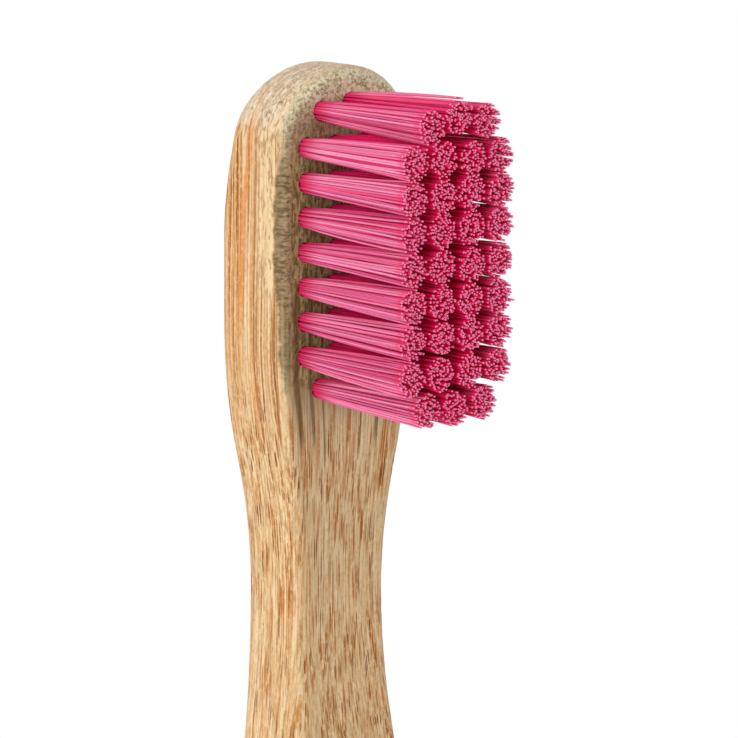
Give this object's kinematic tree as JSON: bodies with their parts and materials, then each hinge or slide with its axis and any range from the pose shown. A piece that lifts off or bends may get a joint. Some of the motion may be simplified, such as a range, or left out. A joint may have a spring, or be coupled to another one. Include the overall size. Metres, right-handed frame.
{
  "type": "manual toothbrush",
  "caption": "Straight manual toothbrush with a flat, waisted bamboo handle and a rounded head of flared pink bristle tufts, each held by a metal anchor in a blind hole.",
  "frame": {"origin": "middle of the butt end of the handle, on its lowest point", "axes": "+Z along the handle from the butt to the head, -Y the way the bristles point, +X across the width of the handle"},
  "size_m": [0.0134, 0.018, 0.19],
  "materials": {
    "bamboo": "satin, sanded and oiled",
    "bristle": "satin nylon",
    "anchor": "plain drawn strip"
  },
  "bodies": {
    "root": {"handle": "bamboo", "tuft_row1_1": "bristle", "tuft_row1_2": "bristle", "tuft_row1_3": "bristle", "tuft_row2_1": "bristle", "tuft_row2_2": "bristle", "tuft_row2_3": "bristle", "tuft_row2_4": "bristle", "tuft_row3_1": "bristle", "tuft_row3_2": "bristle", "tuft_row3_3": "bristle", "tuft_row3_4": "bristle", "tuft_row4_1": "bristle", "tuft_row4_2": "bristle", "tuft_row4_3": "bristle", "tuft_row4_4": "bristle", "tuft_row5_1": "bristle", "tuft_row5_2": "bristle", "tuft_row5_3": "bristle", "tuft_row5_4": "bristle", "tuft_row6_1": "bristle", "tuft_row6_2": "bristle", "tuft_row6_3": "bristle", "tuft_row6_4": "bristle", "tuft_row7_1": "bristle", "tuft_row7_2": "bristle", "tuft_row7_3": "bristle", "tuft_row7_4": "bristle", "tuft_row8_1": "bristle", "tuft_row8_2": "bristle", "tuft_row8_3": "bristle", "tuft_row8_4": "bristle", "tuft_row9_1": "bristle", "tuft_row9_2": "bristle", "tuft_row9_3": "bristle", "anchors_row1": "anchor", "anchors_row2": "anchor", "anchors_row3": "anchor", "anchors_row4": "anchor", "anchors_row5": "anchor", "anchors_row6": "anchor", "anchors_row7": "anchor", "anchors_row8": "anchor", "anchors_row9": "anchor"}
  },
  "joints": []
}
